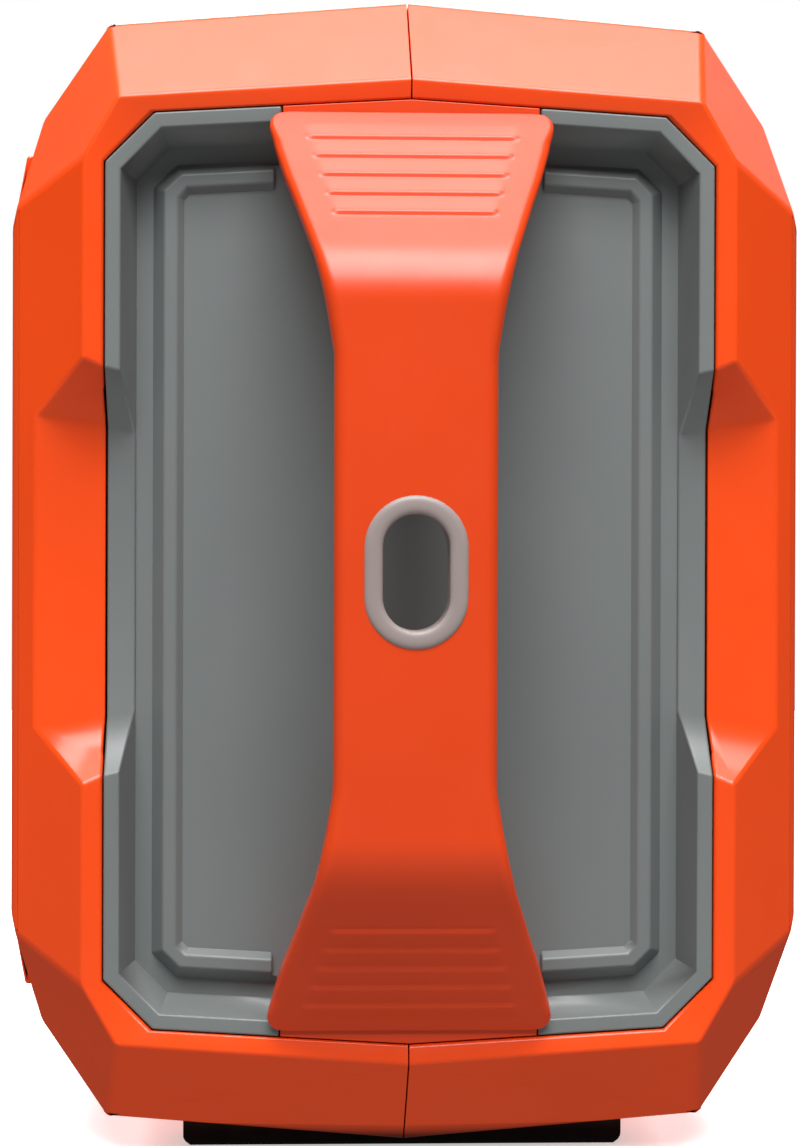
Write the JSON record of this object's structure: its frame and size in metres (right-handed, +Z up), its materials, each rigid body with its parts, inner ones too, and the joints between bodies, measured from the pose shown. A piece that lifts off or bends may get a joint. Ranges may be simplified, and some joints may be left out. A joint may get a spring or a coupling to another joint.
{
  "type": "portable power station",
  "caption": "Upright two-shell portable power station with an arched carrying handle over an inset panel at each end and a recessed control panel at the front.",
  "frame": {"origin": "under the middle of the body, on the surface that the feet stand on", "axes": "+X along the body towards the right-hand handle, -Y towards the control side, +Z up"},
  "size_m": [0.3324, 0.1764, 0.257],
  "materials": {
    "orange_shell": "satin moulded ABS",
    "orange_handle": "satin moulded ABS",
    "grey_panel": "fine-grained moulded ABS",
    "grommet": "satin moulded plastic, warm grey",
    "foot_rubber": "matt moulded rubber",
    "black_panel": "fine-grained moulded ABS",
    "cover": "soft matt moulding",
    "button": "satin",
    "display_window": "gloss",
    "display": "satin",
    "lamp_lens": "frosted",
    "circuit_board": "solder mask",
    "socket_plastic": "satin",
    "steel": "bright",
    "brass": "bright",
    "battery_wrap": "shrink film",
    "inner_plastic": "moulded",
    "aluminium": "extruded",
    "transformer_core": "varnished core",
    "capacitor_sleeve": "sleeve"
  },
  "bodies": {
    "body": {"ac_cover_pin": "steel", "ac_outlet_left": "socket_plastic", "ac_outlet_right": "socket_plastic", "battery_module_left": "battery_wrap", "battery_module_right": "battery_wrap", "battery_tray": "inner_plastic", "bms_board": "circuit_board", "car_socket": "socket_plastic", "car_socket_cap_pin": "steel", "car_socket_contact": "brass", "charge_inlet": "socket_plastic", "control_board": "circuit_board", "control_panel": "black_panel", "dc_jack_1": "socket_plastic", "dc_jack_2": "socket_plastic", "display_module": "display", "display_window": "display_window", "end_panel_left": "grey_panel", "end_panel_right": "grey_panel", "fan_frame": "inner_plastic", "filter_capacitor_1": "capacitor_sleeve", "filter_capacitor_2": "capacitor_sleeve", "foot_bar_left": "foot_rubber", "foot_bar_right": "foot_rubber", "front_bezel": "orange_shell", "front_shell": "orange_shell", "handle_grommet_left": "grommet", "handle_grommet_right": "grommet", "handle_left": "orange_handle", "handle_right": "orange_handle", "handle_screw_left_bottom": "steel", "handle_screw_left_top": "steel", "handle_screw_right_bottom": "steel", "handle_screw_right_top": "steel", "heat_sink": "aluminium", "inner_frame": "aluminium", "inverter_board": "circuit_board", "lamp_board": "circuit_board", "lamp_lens": "lamp_lens", "port_panel": "black_panel", "rear_shell": "orange_shell", "shell_screw_1": "steel", "shell_screw_2": "steel", "shell_screw_3": "steel", "shell_screw_4": "steel", "transformer": "transformer_core", "usb_a_port_1": "socket_plastic", "usb_a_port_2": "socket_plastic", "usb_c_port_1": "socket_plastic", "usb_c_port_2": "socket_plastic", "vent_grille": "black_panel"},
    "power_button": {"power_button": "button"},
    "light_button": {"light_button": "button"},
    "ac_button": {"ac_button": "button"},
    "dc_button": {"dc_button": "button"},
    "ac_cover": {"ac_cover": "cover"},
    "car_socket_cap": {"car_socket_cap": "cover"},
    "fan_rotor": {"fan_rotor": "inner_plastic"}
  },
  "joints": [
    {"name": "power_button_press", "type": "slide", "parent": "body", "child": "power_button", "axis": [0, 1, 0], "range_m": [0, 0.0012], "stiffness_N_per_m": 400},
    {"name": "light_button_press", "type": "slide", "parent": "body", "child": "light_button", "axis": [0, 1, 0], "range_m": [0, 0.0012], "stiffness_N_per_m": 400},
    {"name": "ac_button_press", "type": "slide", "parent": "body", "child": "ac_button", "axis": [0, 1, 0], "range_m": [0, 0.0012], "stiffness_N_per_m": 400},
    {"name": "dc_button_press", "type": "slide", "parent": "body", "child": "dc_button", "axis": [0, 1, 0], "range_m": [0, 0.0012], "stiffness_N_per_m": 400},
    {"name": "ac_cover_hinge", "type": "hinge", "parent": "body", "child": "ac_cover", "pos_m": [0.044, -0.0799, 0.1216], "axis": [-1, 0, 0], "range_deg": [0, 100]},
    {"name": "car_cap_hinge", "type": "hinge", "parent": "body", "child": "car_socket_cap", "pos_m": [-0.03, -0.0799, 0.1086], "axis": [-1, 0, 0], "range_deg": [0, 100]},
    {"name": "fan_spin", "type": "hinge", "parent": "body", "child": "fan_rotor", "pos_m": [0.046, 0.0694, 0.1516], "axis": [0, 1, 0], "continuous": true}
  ]
}
